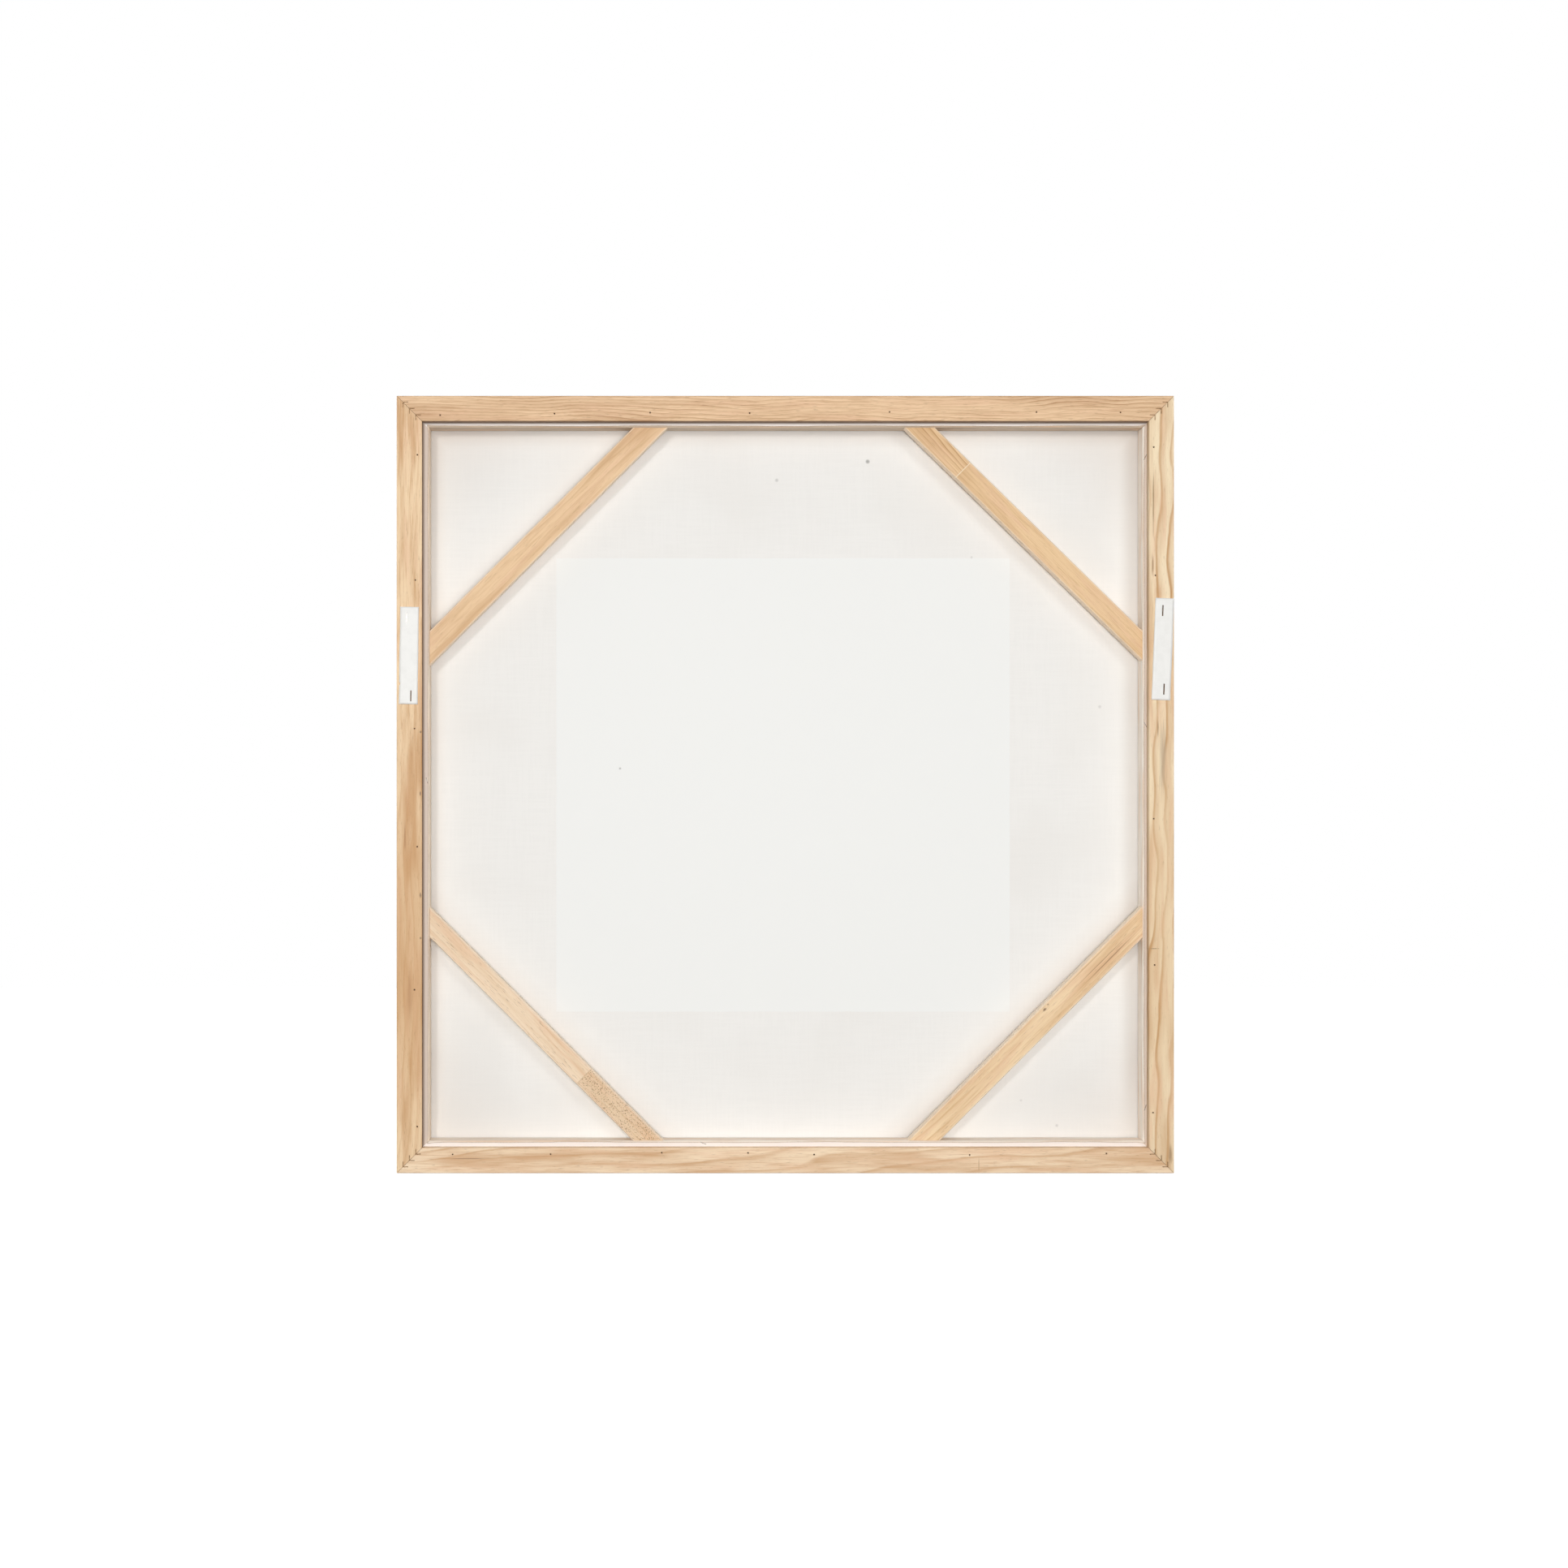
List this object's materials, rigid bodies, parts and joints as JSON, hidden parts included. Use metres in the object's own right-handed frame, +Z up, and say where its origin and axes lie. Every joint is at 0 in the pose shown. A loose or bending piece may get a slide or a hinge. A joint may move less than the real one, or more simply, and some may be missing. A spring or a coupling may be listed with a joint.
{
  "type": "stretched canvas",
  "caption": "Square canvas stretched on braced pine bars and pinned from behind into a shallow pine floater frame, with stapled white hanging straps.",
  "frame": {"origin": "middle of the underside of the bottom rail, half way between the back and the front of the frame", "axes": "+Z up, -Y out of the back towards the wall, +Y out of the canvas face, +X to the right when the back is looked at"},
  "size_m": [0.9144, 0.0461, 0.9144],
  "materials": {
    "pine_rail": "planed, unvarnished",
    "pine_bar": "planed, unvarnished",
    "pine_brace": "planed, unvarnished",
    "canvas": "white primed plain weave",
    "strap": "matt white",
    "steel": "drawn wire"
  },
  "bodies": {
    "root": {"frame_rail_bottom": "pine_rail", "frame_rail_right": "pine_rail", "frame_rail_top": "pine_rail", "frame_rail_left": "pine_rail", "stretcher_bar_bottom": "pine_bar", "stretcher_bar_right": "pine_bar", "stretcher_bar_top": "pine_bar", "stretcher_bar_left": "pine_bar", "corner_brace_bottom_left": "pine_brace", "corner_brace_bottom_right": "pine_brace", "corner_brace_top_right": "pine_brace", "corner_brace_top_left": "pine_brace", "canvas": "canvas", "hanging_strap_left": "strap", "hanging_strap_right": "strap", "strap_staple_left_upper": "steel", "strap_staple_left_lower": "steel", "strap_staple_right_upper": "steel", "strap_staple_right_lower": "steel", "v_nail_bottom_left_1": "steel", "v_nail_bottom_left_2": "steel", "v_nail_bottom_left_3": "steel", "v_nail_bottom_right_1": "steel", "v_nail_bottom_right_2": "steel", "v_nail_bottom_right_3": "steel", "v_nail_top_right_1": "steel", "v_nail_top_right_2": "steel", "v_nail_top_right_3": "steel", "v_nail_top_left_1": "steel", "v_nail_top_left_2": "steel", "v_nail_top_left_3": "steel", "brad_bottom_1": "steel", "brad_bottom_2": "steel", "brad_bottom_3": "steel", "brad_bottom_4": "steel", "brad_bottom_5": "steel", "brad_bottom_6": "steel", "brad_bottom_7": "steel", "brad_right_1": "steel", "brad_right_2": "steel", "brad_right_3": "steel", "brad_right_4": "steel", "brad_right_5": "steel", "brad_top_1": "steel", "brad_top_2": "steel", "brad_top_3": "steel", "brad_top_4": "steel", "brad_top_5": "steel", "brad_top_6": "steel", "brad_top_7": "steel", "brad_left_1": "steel", "brad_left_2": "steel", "brad_left_3": "steel", "brad_left_4": "steel", "brad_left_5": "steel", "brad_left_6": "steel"}
  },
  "joints": []
}
